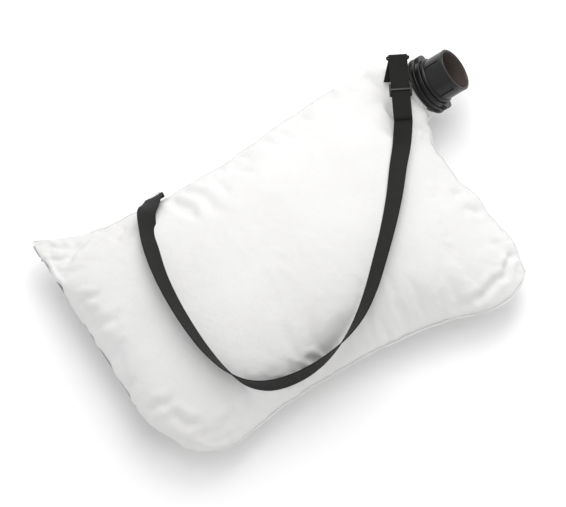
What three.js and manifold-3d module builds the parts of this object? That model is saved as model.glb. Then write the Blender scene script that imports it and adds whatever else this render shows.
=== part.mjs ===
// Collection bag for a leaf blower and vacuum: a soft bag lying on its back, a tipped plastic coupler
// at one corner, a zip along the bottom end, and an adjustable webbing shoulder strap.
// Millimetres. +X runs from the bottom end to the coupler end, +Z is up, and the origin is the middle
// of the flat patch that the bag rests on.
import * as THREE from "three";
import { mergeVertices } from "three/addons/utils/BufferGeometryUtils.js";
import Module from "manifold-3d";

const wasm = await Module();
wasm.setup();

// ---- Driving dimensions ----
const GAP = 0.3; // between pieces that touch
const FABRIC = 3; // panel thickness, with its lining
const SEAM_HEIGHT = 52; // the side seam above the floor
const CROWN = 150; // highest point of the bag above the floor

// The seam's four sides in plan, each through its own few points.
const CORNER = { tip: [-320, 238], neck: [302, 222], foot: [-287, -199], heel: [322, -212] };
const SIDES = {
  top: [CORNER.tip, [-250, 205], [-110, 194], [30, 199], [170, 217], CORNER.neck],
  bottom: [CORNER.foot, [-235, -224], [-120, -209], [0, -203], [140, -211], [268, -238], CORNER.heel],
  left: [CORNER.foot, [-313, -152], [-323, -105], [-323, 0], [-323, 110], [-323, 205], CORNER.tip],
  right: [
    CORNER.heel, [331, -156], [325, -100], [326, -60],
    [315, -18], [313, 22], [316, 60], [328, 90], CORNER.neck,
  ],
};
const NECK_END = new THREE.Vector3(328, 90, SEAM_HEIGHT); // where the neck opening meets the right side
const NECK_HALF_HEIGHT = 38;
const HALF_PLAN = { length: 322, width: 222 }; // the inner skin is drawn in from these
const BULGE = { edge: 2.4, crown: 0.8, floor: 1.6 }; // how full the panels are, and how fast the floor is met
const FADE = { neck: 8, zip: 12 }; // powers: how soon the neck and the zip strip fade into the panels
const STRIP = { before: 62, ramp: 30, after: 2, tipRamp: 18 }; // run-in and run-out of the zip strip

// Coupler: its own axis starts at the front of the flange and runs out of the mouth.
const FLANGE_CENTRE = new THREE.Vector3(359, 144, 67);
const TILT = THREE.MathUtils.degToRad(36.5); // above the floor
const TURN = THREE.MathUtils.degToRad(-15); // away from +X, in plan
const TUBE = { inner: 32.5, outer: 36.5, mouth: 57, inside: -9.3 };
const FLANGE = { radius: 49, thickness: 3 };
const SEAT = { radius: 44, top: 6 };
const LOCK = { inner: 37, radius: 42.5, ear: 48.5, halfEar: 21, earBlend: 6, bottom: 6.4, top: 15.4 };
const COLLAR = { inner: 36.8, radius: 39.8, bottom: 15.8, top: 21.8, bevel: 2, rim: 1 };
const SLEEVE = { inner: 43.6, outer: 45.6, hem: -12, lip: 37.3, lipTop: -3.3, lipBottom: -5.7 };
const SLEEVE_START = { clear: 4.6, inset: 2 }; // at the panels' oval opening
const CLAMP = { inner: 37.5, outer: 43, bottom: -9, top: -6 };
const SCREW = { count: 4, circle: 40.2, hole: 1.7, shank: 1.3, tip: -0.9 };
const SCREW_HEAD = { radius: 2.4, height: 1.6, overlap: 0.5 };
const TUBE_SLOT = { count: 4, width: 2.4, length: 26, depth: 2, bottom: 22.5 };
const MOUTH_BEVEL = 1.4;
const EAR_ANGLE = THREE.MathUtils.degToRad(-63); // first ear, from the top of the coupler
const SLOT_ANGLE = THREE.MathUtils.degToRad(-18); // first slot in the tube

// Strap
const WEBBING = { width: 30, thickness: 1.8 };
const RING = { wire: 1.6, inside: 31.4, pitch: 9, corner: 2.4 };
const GLIDE = { fromRing: 59, length: 20, rail: 3, bar: 3.4, barThickness: 1.6 };

// Zip: it lies on a narrow sloping strip between the edges of the two panels.
const ZIP = { x: -324, from: -98, to: 214, drop: 19, split: 1, tapeEdge: 12.1, tapeThickness: 1 };
const STOP = { length: 2.4, fromEnd: 2.5, fromStart: 2 };
const COIL = { outer: 3.8, bottom: 0.8, top: 3, pitch: 8, tooth: 5, notch: 1.2, start: 4, end: 5 };
const SLIDER = { start: 5, length: 11, width: 12, plate: 1.4, post: 1, postLength: 3, postPlace: 2 };
const LUG = { width: 1.2, length: 4, place: 3, above: 1.4, pin: 0.8, pinHeight: 7.2 };
const PULL = { length: 29, width: 8, thickness: 1.3, neck: 4, bite: 0.3 };
const EYE = { inner: 1.2, outer: 2.1, half: 2 };

// ---- Geometry helpers ----

// A closed solid from triangles, turned to face outwards.
function solid(points, triangles) {
  const volume = triangles.reduce((sum, [a, b, c]) => {
    const normal = new THREE.Vector3().crossVectors(points[b], points[c]);
    return sum + points[a].dot(normal);
  }, 0);
  const index = triangles.flatMap(([a, b, c]) => (volume > 0 ? [a, b, c] : [a, c, b]));
  const geometry = new THREE.BufferGeometry().setFromPoints(points);
  geometry.setIndex(index);
  geometry.computeVertexNormals();
  return geometry;
}

// Rings of points joined one to the next; the ends are capped, or meet when joinEnds is true.
function loft(rings, joinEnds = false) {
  const size = rings[0].length;
  const points = rings.flat();
  const triangles = [];
  const steps = joinEnds ? rings.length : rings.length - 1;
  for (let r = 0; r < steps; r++) {
    const next = (r + 1) % rings.length;
    for (let k = 0; k < size; k++) {
      const l = (k + 1) % size;
      const [a, b, c, d] = [r * size + k, r * size + l, next * size + l, next * size + k];
      triangles.push([a, b, c], [a, c, d]);
    }
  }
  if (!joinEnds) {
    const last = (rings.length - 1) * size;
    for (let k = 1; k < size - 1; k++) {
      triangles.push([0, k + 1, k], [last, last + k, last + k + 1]);
    }
  }
  return solid(points, triangles);
}

// A sheet between two grids of points, closed all round its rim.
function shell(outer, inner) {
  const rows = outer.length;
  const columns = outer[0].length;
  const end = columns - 1;
  const points = [...outer.flat(), ...inner.flat()];
  const at = (side, i, j) => side * rows * columns + i * columns + j;
  const triangles = [];
  const quad = (a, b, c, d) => triangles.push([a, b, c], [a, c, d]);
  for (let i = 0; i < rows - 1; i++) {
    for (let j = 0; j < columns - 1; j++) {
      quad(at(0, i, j), at(0, i + 1, j), at(0, i + 1, j + 1), at(0, i, j + 1));
      quad(at(1, i, j), at(1, i, j + 1), at(1, i + 1, j + 1), at(1, i + 1, j));
    }
  }
  for (let i = 0; i < rows - 1; i++) {
    quad(at(0, i, 0), at(1, i, 0), at(1, i + 1, 0), at(0, i + 1, 0));
    quad(at(0, i + 1, end), at(1, i + 1, end), at(1, i, end), at(0, i, end));
  }
  for (let j = 0; j < columns - 1; j++) {
    quad(at(0, 0, j + 1), at(1, 0, j + 1), at(1, 0, j), at(0, 0, j));
    quad(at(0, rows - 1, j), at(1, rows - 1, j), at(1, rows - 1, j + 1), at(0, rows - 1, j + 1));
  }
  return solid(points, triangles);
}

// A strip of webbing: each station has a centre, a direction across the width and a face direction.
function ribbon(stations, width, thickness) {
  return loft(
    stations.map(({ centre, across, face }) =>
      [[-1, -1], [1, -1], [1, 1], [-1, 1]].map(([side, level]) =>
        centre
          .clone()
          .addScaledVector(across, (side * width) / 2)
          .addScaledVector(face, (level * thickness) / 2),
      ),
    ),
  );
}

// A straight-sided ring or disc about local Z.
function turned(profile, segments = 40) {
  const outline = [...profile, profile[0]].map(([radius, height]) => new THREE.Vector2(radius, height));
  return new THREE.LatheGeometry(outline, segments).rotateX(Math.PI / 2);
}

// An outline extruded along local Z from one height to another.
function extruded(shape, bottom, top, curveSegments = 24) {
  const settings = { depth: top - bottom, bevelEnabled: false, curveSegments };
  return new THREE.ExtrudeGeometry(shape, settings).translate(0, 0, bottom);
}

function rod(radius, bottom, top, segments = 16) {
  return new THREE.CylinderGeometry(radius, radius, top - bottom, segments)
    .rotateX(Math.PI / 2)
    .translate(0, 0, (top + bottom) / 2);
}

function block(width, depth, height, x = 0, y = 0, z = 0) {
  return new THREE.BoxGeometry(width, depth, height).translate(x, y, z);
}

function toManifold(geometry) {
  const plain = geometry.clone();
  plain.deleteAttribute("normal");
  plain.deleteAttribute("uv");
  const merged = mergeVertices(plain, 1e-4);
  return new wasm.Manifold(
    new wasm.Mesh({
      numProp: 3,
      vertProperties: merged.attributes.position.array,
      triVerts: new Uint32Array(merged.index.array),
    }),
  );
}

function fromManifold(made) {
  const mesh = made.getMesh();
  const geometry = new THREE.BufferGeometry();
  geometry.setAttribute("position", new THREE.BufferAttribute(new Float32Array(mesh.vertProperties), 3));
  geometry.setIndex(new THREE.BufferAttribute(new Uint32Array(mesh.triVerts), 1));
  geometry.computeVertexNormals();
  return geometry;
}

function cut(geometry, tools) {
  return fromManifold(tools.reduce((body, tool) => body.subtract(toManifold(tool)), toManifold(geometry)));
}

function join(first, ...others) {
  return fromManifold(others.reduce((body, other) => body.add(toManifold(other)), toManifold(first)));
}

// Evenly spaced angles round a circle, each turned by start.
function round(count, start = 0) {
  return Array.from({ length: count }, (_, k) => start + (k * 2 * Math.PI) / count);
}

// ---- Materials ----
function material(color, roughness, metalness = 0) {
  return new THREE.MeshStandardMaterial({ color, roughness, metalness });
}
const whiteFabric = material(0xf1f1f3, 0.9);
const tapeFabric = material(0xd8d8d8, 0.85);
const greyNylon = material(0x9a9c9e, 0.5);
const blackWebbing = material(0x2a2b28, 0.85);
const blackPlastic = material(0x232123, 0.38);
const mattePlastic = material(0x1b191b, 0.6);
const greyMetal = material(0x8d9093, 0.35, 1);

const bag = new THREE.Group();
const strap = new THREE.Group();
const object = new THREE.Group();
object.add(bag, strap);

function add(group, name, geometry, look) {
  const mesh = new THREE.Mesh(geometry, look);
  mesh.name = name;
  group.add(mesh);
}

// ---- Bag panels ----
function sideCurve(points) {
  return new THREE.CatmullRomCurve3(
    points.map(([x, y]) => new THREE.Vector3(x, y, 0)),
    false,
    "centripetal",
  );
}
const side = Object.fromEntries(Object.entries(SIDES).map(([name, points]) => [name, sideCurve(points)]));
const neckShare = new THREE.Vector2(...CORNER.neck).distanceTo(NECK_END) / side.right.getLength();

// The plan position at (u, v), both from -1 to 1, blended from the four sides.
function plan(u, v) {
  const s = (u + 1) / 2;
  const t = (v + 1) / 2;
  const lengthwise = side.bottom.getPointAt(s).lerp(side.top.getPointAt(s), t);
  const across = side.left.getPointAt(t).lerp(side.right.getPointAt(t), s);
  const low = new THREE.Vector3(...CORNER.foot, 0).lerp(new THREE.Vector3(...CORNER.heel, 0), s);
  const high = new THREE.Vector3(...CORNER.tip, 0).lerp(new THREE.Vector3(...CORNER.neck, 0), s);
  return lengthwise.add(across).sub(low.lerp(high, t));
}

// How full the bag is at (u, v): 0 along the seam and 1 in the middle.
function fullness(u, v) {
  const falloff = (w) => 1 - Math.abs(w) ** BULGE.edge;
  return (falloff(u) * falloff(v)) ** BULGE.crown;
}

// Half the height of the neck opening, an ellipse that fades away into the bag.
function neckRise(u, v, halfHeight) {
  const place = (1 - v) / 2 / neckShare;
  if (u <= 0 || place >= 1) return 0;
  return halfHeight * Math.sqrt(1 - (2 * place - 1) ** 2) * u ** FADE.neck;
}

// 1 along the zip, 0 elsewhere: the back panel's edge is set in by the width of the zip.
function zipStrip(u, y) {
  const foot = ZIP.from - STRIP.before;
  const tip = ZIP.to + STRIP.after;
  const begun = THREE.MathUtils.smoothstep(y, foot, foot + STRIP.ramp);
  const ended = THREE.MathUtils.smoothstep(y, tip, tip + STRIP.tipRamp);
  return begun * (1 - ended) * Math.max(0, -u) ** FADE.zip;
}

// The plan position, drawn in all round by the inset.
function insetPlan(u, v, inset) {
  return plan(u * (1 - inset / HALF_PLAN.length), v * (1 - inset / HALF_PLAN.width));
}

function frontPoint(u, v, inset) {
  const point = insetPlan(u, v, inset);
  const rise = neckRise(u, v, NECK_HALF_HEIGHT - inset);
  point.z = SEAM_HEIGHT + GAP / 2 + rise + (CROWN - SEAM_HEIGHT - inset) * fullness(u, v);
  return point;
}

function backPoint(u, v, inset) {
  const point = insetPlan(u, v, inset);
  const set = ZIP.drop * zipStrip(u, point.y);
  const drop = neckRise(u, v, NECK_HALF_HEIGHT - inset) + set;
  const depth = (SEAM_HEIGHT - inset) * Math.min(1, BULGE.floor * fullness(u, v));
  point.x += set;
  point.z = Math.max(inset, SEAM_HEIGHT - GAP / 2 - drop - depth);
  return point;
}

const LENGTH_CELLS = 24;
const WIDTH_CELLS = 20;

// Points of one face of a panel, closer together towards the seam.
function panelGrid(pointAt, inset) {
  const spread = (k, cells) => -Math.cos((Math.PI * k) / cells);
  return Array.from({ length: LENGTH_CELLS + 1 }, (_, i) =>
    Array.from({ length: WIDTH_CELLS + 1 }, (_, j) =>
      pointAt(spread(i, LENGTH_CELLS), spread(j, WIDTH_CELLS), inset),
    ),
  );
}

add(bag, "front_panel", shell(panelGrid(frontPoint, 0), panelGrid(frontPoint, FABRIC)), whiteFabric);
add(bag, "back_panel", shell(panelGrid(backPoint, 0), panelGrid(backPoint, FABRIC)), whiteFabric);

// ---- Coupler ----
const couplerAxis = new THREE.Vector3(
  Math.cos(TILT) * Math.cos(TURN),
  Math.cos(TILT) * Math.sin(TURN),
  Math.sin(TILT),
);
const couplerUp = new THREE.Vector3(0, 0, 1).projectOnPlane(couplerAxis).normalize();
const couplerSide = new THREE.Vector3().crossVectors(couplerAxis, couplerUp);
const coupler = new THREE.Group();
coupler.position.copy(FLANGE_CENTRE);
coupler.quaternion.setFromRotationMatrix(new THREE.Matrix4().makeBasis(couplerUp, couplerSide, couplerAxis));
object.add(coupler);

function ringShape(radius, holeRadius) {
  const shape = new THREE.Shape().absarc(0, 0, radius, 0, 2 * Math.PI);
  shape.holes.push(new THREE.Path().absarc(0, 0, holeRadius, 0, 2 * Math.PI));
  return shape;
}

const screwPlaces = round(SCREW.count, Math.PI / 4).map((angle) => [
  SCREW.circle * Math.cos(angle),
  SCREW.circle * Math.sin(angle),
]);

function screwHoles(bottom, top) {
  return screwPlaces.map(([x, y]) => rod(SCREW.hole, bottom, top).translate(x, y, 0));
}

// Flange, seat and tube in one moulding, with four slots that let the tube's end spring.
function couplerBody() {
  const body = turned([
    [TUBE.inner, TUBE.inside],
    [TUBE.outer, TUBE.inside],
    [TUBE.outer, -FLANGE.thickness],
    [FLANGE.radius, -FLANGE.thickness],
    [FLANGE.radius, 0],
    [SEAT.radius, 0],
    [SEAT.radius, SEAT.top],
    [TUBE.outer, SEAT.top],
    [TUBE.outer, TUBE.mouth - MOUTH_BEVEL],
    [TUBE.outer - MOUTH_BEVEL, TUBE.mouth],
    [TUBE.inner, TUBE.mouth],
  ]);
  const slotMiddle = TUBE_SLOT.bottom + TUBE_SLOT.length / 2;
  const slots = round(TUBE_SLOT.count, SLOT_ANGLE).map((angle) =>
    block(2 * TUBE_SLOT.depth, TUBE_SLOT.width, TUBE_SLOT.length, TUBE.outer, 0, slotMiddle).rotateZ(angle),
  );
  return cut(body, [...slots, ...screwHoles(-FLANGE.thickness - 1, SCREW.tip + GAP)]);
}

// A plain ring with two rounded finger ears opposite each other.
function lockRing() {
  const steps = 80;
  const radiusAt = (angle) => {
    const away = THREE.MathUtils.radToDeg(Math.abs(Math.asin(Math.sin(angle))));
    const past = THREE.MathUtils.smoothstep(away, LOCK.halfEar - LOCK.earBlend, LOCK.halfEar);
    return THREE.MathUtils.lerp(LOCK.ear, LOCK.radius, past);
  };
  const outline = round(steps).map((angle) => {
    const radius = radiusAt(angle);
    return new THREE.Vector2(radius * Math.cos(angle + EAR_ANGLE), radius * Math.sin(angle + EAR_ANGLE));
  });
  const shape = new THREE.Shape(outline);
  shape.holes.push(new THREE.Path().absarc(0, 0, LOCK.inner, 0, 2 * Math.PI));
  return extruded(shape, LOCK.bottom, LOCK.top);
}

function collar() {
  return turned([
    [COLLAR.inner, COLLAR.bottom],
    [COLLAR.radius, COLLAR.bottom],
    [COLLAR.radius, COLLAR.top - COLLAR.bevel],
    [COLLAR.inner + COLLAR.rim, COLLAR.top],
    [COLLAR.inner, COLLAR.top],
  ]);
}

function clampRing() {
  const plate = extruded(ringShape(CLAMP.outer, CLAMP.inner), CLAMP.bottom, CLAMP.top);
  return cut(plate, screwHoles(CLAMP.bottom - 1, CLAMP.top + 1));
}

function screw([x, y]) {
  const seat = CLAMP.bottom - GAP;
  const head = rod(SCREW_HEAD.radius, seat - SCREW_HEAD.height, seat);
  return join(head, rod(SCREW.shank, seat - SCREW_HEAD.overlap, SCREW.tip)).translate(x, y, 0);
}

add(coupler, "coupler_body", couplerBody(), blackPlastic);
add(coupler, "lock_ring", lockRing(), mattePlastic);
add(coupler, "retaining_collar", collar(), mattePlastic);
add(coupler, "clamp_ring", clampRing(), mattePlastic);
screwPlaces.forEach((place, k) => add(coupler, `clamp_screw_${k + 1}`, screw(place), greyMetal));

// ---- Neck sleeve: from the oval opening of the panels to the lip clamped under the flange ----
function neckSleeve() {
  const neckStart = new THREE.Vector3(...CORNER.neck, SEAM_HEIGHT);
  const along = NECK_END.clone().sub(neckStart).normalize();
  const outward = new THREE.Vector3(-along.y, along.x, 0);
  const halfWidth = NECK_END.distanceTo(neckStart) / 2;
  const centre = neckStart.clone().lerp(NECK_END, 0.5).addScaledVector(outward, SLEEVE_START.clear);
  const oval = (inset) => (angle) =>
    centre
      .clone()
      .addScaledVector(along, (halfWidth - inset) * Math.sin(angle))
      .add(new THREE.Vector3(0, 0, (NECK_HALF_HEIGHT - inset) * Math.cos(angle)));
  const circle = (radius, height) => (angle) =>
    FLANGE_CENTRE.clone()
      .addScaledVector(couplerSide, radius * Math.sin(angle))
      .addScaledVector(couplerUp, radius * Math.cos(angle))
      .addScaledVector(couplerAxis, height);
  const wall = SLEEVE.outer - SLEEVE.inner;
  const stations = [
    circle(SLEEVE.lip, SLEEVE.lipTop),
    circle(SLEEVE.outer, SLEEVE.lipTop),
    circle(SLEEVE.outer, SLEEVE.hem),
    oval(SLEEVE_START.inset),
    oval(SLEEVE_START.inset + wall),
    circle(SLEEVE.inner, SLEEVE.hem),
    circle(SLEEVE.inner, SLEEVE.lipBottom),
    circle(SLEEVE.lip, SLEEVE.lipBottom),
  ];
  const sleeve = loft(stations.map((pointAt) => round(36).map(pointAt)), true);
  coupler.updateMatrixWorld(true);
  const holes = screwHoles(SLEEVE.lipBottom - 1, SLEEVE.lipTop + 1).map((hole) =>
    hole.applyMatrix4(coupler.matrixWorld),
  );
  return cut(sleeve, holes);
}
add(bag, "neck_sleeve", neckSleeve(), whiteFabric);

// ---- Shoulder strap ----

// The strap's route: x, y, z of its centre line, and how far its face is raised from facing inwards
// (0 stands on edge, 90 lies flat). The first points are the fold over the seam at the rear anchor.
const ROUTE = [
  [-116, 200, 56, 90],
  [-118, 200, 64, 90],
  [-124, 194, 73, 88],
  [-134, 183, 85, 84],
  [-151, 166, 104, 78],
  [-167, 134, 117, 68],
  [-183, 94, 132, 58],
  [-195, 46, 141, 50],
  [-201, -5, 144, 46],
  [-202, -55, 143, 42],
  [-198, -101, 138, 36],
  [-187, -142, 130, 24],
  [-167, -172, 118, 6],
  [-137, -188, 103, -8],
  [-104, -193, 91, -12],
  [-72, -194, 88, -10],
  [-38, -192, 94, 0],
  [2, -184, 109, 18],
  [38, -169, 124, 34],
  [74, -144, 138, 44],
  [113, -108, 147, 50],
  [150, -71, 149, 54],
  [189, -27, 143, 60],
  [225, 19, 130, 68],
  [255, 56, 116, 80],
];
const REAR_ROOT = new THREE.Vector3(-115, 198, 49); // sewn into the seam
const FRONT_ROOT = new THREE.Vector3(307, 167, 95); // sewn beside the neck
const CREST = new THREE.Vector3(331, 192, 118); // the middle of the ring's upper bar
const TAIL_END = new THREE.Vector3(279, 90, 112); // where the doubled webbing ends
const UP = new THREE.Vector3(0, 0, 1);
const ALONG_SEAM = new THREE.Vector3(-1, 0, 0);

const loopAlong = CREST.clone().sub(TAIL_END).normalize();
const loopAcross = new THREE.Vector3().crossVectors(loopAlong, UP).normalize();
const loopFace = new THREE.Vector3().crossVectors(loopAcross, loopAlong);
const doubledLength = CREST.distanceTo(TAIL_END);
const wrapRadius = RING.wire + GAP + WEBBING.thickness / 2; // centre of the webbing round a bar
const closeLayer = WEBBING.thickness / 2 + GAP; // centre of each layer where the two lie together
const TAIL_SHORT = 4; // the upper layer stops this far before the place where the doubling starts

function loopStation(fromRing, offset, face) {
  const centre = CREST.clone().addScaledVector(loopAlong, -fromRing).addScaledVector(loopFace, offset);
  return { centre, across: loopAcross, face: loopFace.clone().multiplyScalar(face) };
}

// Half a turn round a bar that lies along the webbing's width, from the lower layer to the upper one.
function turnStations(bar, along, face, radius) {
  const steps = 8;
  return Array.from({ length: steps + 1 }, (_, k) => {
    const angle = -Math.PI / 2 + (k * Math.PI) / steps;
    const outward = along.clone().multiplyScalar(Math.cos(angle)).addScaledVector(face, Math.sin(angle));
    const centre = bar.clone().addScaledVector(outward, radius);
    return { centre, across: loopAcross, face: outward.negate() };
  });
}

// The webbing's free part: smooth stations along ROUTE, banked as it says. Over the rear fold its width
// stays in line with the seam.
function routeStations() {
  const end = loopStation(doubledLength, -closeLayer, 1);
  const path = [REAR_ROOT, ...ROUTE.map(([x, y, z]) => new THREE.Vector3(x, y, z)), end.centre];
  const banks = [90, ...ROUTE.map((row) => row[3]), 90];
  const foldEnds = 3;
  const settledFrom = 6;
  const perPoint = 2;
  const curve = new THREE.CatmullRomCurve3(path, false, "centripetal");
  const count = (path.length - 1) * perPoint;
  return Array.from({ length: count }, (_, k) => {
    const place = k / perPoint;
    const from = Math.floor(place);
    const bank = THREE.MathUtils.degToRad(THREE.MathUtils.lerp(banks[from], banks[from + 1], place - from));
    const tangent = curve.getTangent(k / count);
    const outward = new THREE.Vector3().crossVectors(tangent, UP).normalize();
    const banked = outward.multiplyScalar(Math.sin(bank)).addScaledVector(UP, Math.cos(bank));
    const settled = THREE.MathUtils.smoothstep(place, foldEnds, settledFrom);
    const across = ALONG_SEAM.clone().lerp(banked, settled).projectOnPlane(tangent).normalize();
    const face = new THREE.Vector3().crossVectors(across, tangent);
    return { centre: curve.getPoint(k / count), across, face };
  });
}

function strapWebbing() {
  const foldBack = 24; // the layers come together this far below the ring
  const stations = [
    ...routeStations(),
    loopStation(doubledLength, -closeLayer, 1),
    loopStation(foldBack, -closeLayer, 1),
    ...turnStations(CREST, loopAlong, loopFace, wrapRadius),
    loopStation(foldBack, closeLayer, -1),
    loopStation(doubledLength - TAIL_SHORT, closeLayer, -1),
  ];
  return ribbon(stations, WEBBING.width, WEBBING.thickness);
}

// The ring hangs its second bar below the first, and the anchor tab goes round that one.
const RING_DOWN = UP.clone().projectOnPlane(loopAcross).normalize().negate();
const lowerBar = CREST.clone().addScaledVector(RING_DOWN, RING.pitch);

// A bent wire that closes on itself, as a rounded rectangle in the plane of its width and down directions.
function strapRing() {
  const { corner } = RING;
  const halfWidth = RING.inside / 2 + RING.wire;
  const arcSteps = 4;
  const centres = [
    [halfWidth - corner, RING.pitch - corner, 0],
    [-halfWidth + corner, RING.pitch - corner, 1],
    [-halfWidth + corner, corner, 2],
    [halfWidth - corner, corner, 3],
  ];
  const rings = centres.flatMap(([x, y, quarter]) =>
    Array.from({ length: arcSteps + 1 }, (_, k) => {
      const angle = ((quarter + k / arcSteps) * Math.PI) / 2;
      const out = new THREE.Vector3()
        .addScaledVector(loopAcross, Math.cos(angle))
        .addScaledVector(RING_DOWN, Math.sin(angle));
      const centre = CREST.clone()
        .addScaledVector(loopAcross, x)
        .addScaledVector(RING_DOWN, y)
        .addScaledVector(out, corner);
      const normal = new THREE.Vector3().crossVectors(loopAcross, RING_DOWN);
      return round(10).map((turn) =>
        centre
          .clone()
          .addScaledVector(out, RING.wire * Math.cos(turn))
          .addScaledVector(normal, RING.wire * Math.sin(turn)),
      );
    }),
  );
  return loft(rings, true);
}

// Doubled tape sewn down beside the neck and looped round the ring's lower bar.
function anchorTab() {
  const thickness = 1.5;
  const radius = RING.wire + GAP + thickness / 2;
  const along = lowerBar.clone().sub(FRONT_ROOT).projectOnPlane(loopAcross).normalize();
  const face = new THREE.Vector3().crossVectors(loopAcross, along);
  const rootStation = (offset, turn) => ({
    centre: FRONT_ROOT.clone().addScaledVector(face, offset),
    across: loopAcross,
    face: face.clone().multiplyScalar(turn),
  });
  const half = thickness / 2 + GAP;
  return ribbon(
    [rootStation(-half, 1), ...turnStations(lowerBar, along, face, radius), rootStation(half, -1)],
    WEBBING.width,
    thickness,
  );
}

// Three-bar slide: the two end bars pass under the doubled webbing and the middle bar over it.
function adjuster() {
  const under = closeLayer + WEBBING.thickness / 2 + GAP;
  const height = 2 * (under + GLIDE.barThickness);
  const railPlace = WEBBING.width / 2 + GAP + GLIDE.rail / 2;
  const span = 2 * railPlace;
  const endPlace = (GLIDE.length - GLIDE.bar) / 2;
  const level = under + GLIDE.barThickness / 2;
  const rails = [-1, 1].map((turn) => block(GLIDE.rail, GLIDE.length, height, turn * railPlace));
  const ends = [-1, 1].map((turn) => block(span, GLIDE.bar, GLIDE.barThickness, 0, turn * endPlace, -level));
  const middle = block(span, GLIDE.bar, GLIDE.barThickness, 0, 0, level);
  return join(rails[0], rails[1], ...ends, middle);
}

add(strap, "strap_webbing", strapWebbing(), blackWebbing);
add(strap, "strap_ring", strapRing(), mattePlastic);
add(strap, "neck_anchor_tab", anchorTab(), blackWebbing);
const glide = new THREE.Group();
glide.position.copy(loopStation(GLIDE.fromRing, 0, 1).centre);
glide.quaternion.setFromRotationMatrix(new THREE.Matrix4().makeBasis(loopAcross, loopAlong, loopFace));
strap.add(glide);
add(glide, "strap_adjuster", adjuster(), blackPlastic);

// ---- Zip ----
// Local X runs across the zip from the front panel to the back one, Y along it away from the corner
// tip, and Z out of the bag.
const zip = new THREE.Group();
const slope = Math.SQRT1_2;
zip.position.set(ZIP.x + ZIP.drop / 2, ZIP.to, SEAM_HEIGHT - ZIP.drop / 2);
zip.quaternion.setFromRotationMatrix(
  new THREE.Matrix4().makeBasis(
    new THREE.Vector3(slope, 0, -slope),
    new THREE.Vector3(0, -1, 0),
    new THREE.Vector3(-slope, 0, -slope),
  ),
);
bag.add(zip);
const zipLength = ZIP.to - ZIP.from;

function zipTape(turn) {
  const width = ZIP.tapeEdge - ZIP.split;
  return block(width, zipLength, ZIP.tapeThickness, turn * (ZIP.split + width / 2), zipLength / 2);
}

// One side's coil as a bar with teeth on its inner edge.
function zipCoil(turn) {
  const teeth = Math.floor((zipLength - COIL.start - COIL.end) / COIL.pitch);
  const outline = [
    new THREE.Vector2(turn * COIL.outer, COIL.start + teeth * COIL.pitch),
    new THREE.Vector2(turn * COIL.outer, COIL.start),
  ];
  for (let k = 0; k < teeth; k++) {
    const from = COIL.start + k * COIL.pitch;
    outline.push(
      new THREE.Vector2(turn * ZIP.split, from),
      new THREE.Vector2(turn * ZIP.split, from + COIL.tooth),
      new THREE.Vector2(turn * (ZIP.split + COIL.notch), from + COIL.tooth),
      new THREE.Vector2(turn * (ZIP.split + COIL.notch), from + COIL.pitch),
    );
  }
  return extruded(new THREE.Shape(outline), COIL.bottom, COIL.top);
}

function zipStop(place) {
  return block(2 * COIL.outer, STOP.length, COIL.top - COIL.bottom, 0, place, (COIL.top + COIL.bottom) / 2);
}

const pinPlace = SLIDER.start + LUG.place;

// Two plates joined by a thin post, with a pin between two lugs for the pull.
function zipSlider() {
  const middle = SLIDER.start + SLIDER.length / 2;
  const outerLevel = COIL.top + GAP + SLIDER.plate / 2;
  const innerLevel = -ZIP.tapeThickness / 2 - GAP - SLIDER.plate / 2;
  const plates = [outerLevel, innerLevel].map((level) =>
    block(SLIDER.width, SLIDER.length, SLIDER.plate, 0, middle, level),
  );
  const postPlace = SLIDER.start + SLIDER.postPlace;
  const postHeight = outerLevel - innerLevel;
  const post = block(SLIDER.post, SLIDER.postLength, postHeight, 0, postPlace, innerLevel + postHeight / 2);
  const lugPlace = EYE.half + GAP + LUG.width / 2;
  const lugHeight = LUG.pinHeight + LUG.above - outerLevel;
  const lugs = [-1, 1].map((turn) =>
    block(LUG.width, LUG.length, lugHeight, turn * lugPlace, pinPlace, outerLevel + lugHeight / 2),
  );
  const pin = rod(LUG.pin, -lugPlace, lugPlace)
    .rotateY(Math.PI / 2)
    .translate(0, pinPlace, LUG.pinHeight);
  return join(plates[0], post, plates[1], ...lugs, pin);
}

// A flat tab with an eye for the slider's pin, lying along the zip past the corner.
function zipPull() {
  const tube = [
    [EYE.inner, -EYE.half],
    [EYE.outer, -EYE.half],
    [EYE.outer, EYE.half],
    [EYE.inner, EYE.half],
  ];
  const eye = turned(tube, 20).rotateY(Math.PI / 2);
  const neck = block(2 * EYE.half, PULL.neck, PULL.thickness, 0, -EYE.inner - PULL.bite - PULL.neck / 2);
  const tabStart = EYE.inner + PULL.neck;
  const tab = block(PULL.width, PULL.length - tabStart, PULL.thickness, 0, -(PULL.length + tabStart) / 2);
  return join(eye, neck, tab).translate(0, pinPlace, LUG.pinHeight);
}

add(zip, "front_zip_tape", zipTape(-1), tapeFabric);
add(zip, "back_zip_tape", zipTape(1), tapeFabric);
add(zip, "front_zip_coil", zipCoil(-1), greyNylon);
add(zip, "back_zip_coil", zipCoil(1), greyNylon);
add(zip, "zip_top_stop", zipStop(STOP.fromStart), greyMetal);
add(zip, "zip_bottom_stop", zipStop(zipLength - STOP.fromEnd), greyMetal);
add(zip, "zip_slider", zipSlider(), greyMetal);
add(zip, "zip_pull", zipPull(), greyMetal);

export default object;
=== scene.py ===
import math

import bmesh
import bpy
import numpy as np
from mathutils import Matrix, Vector, noise
from mathutils.kdtree import KDTree


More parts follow.
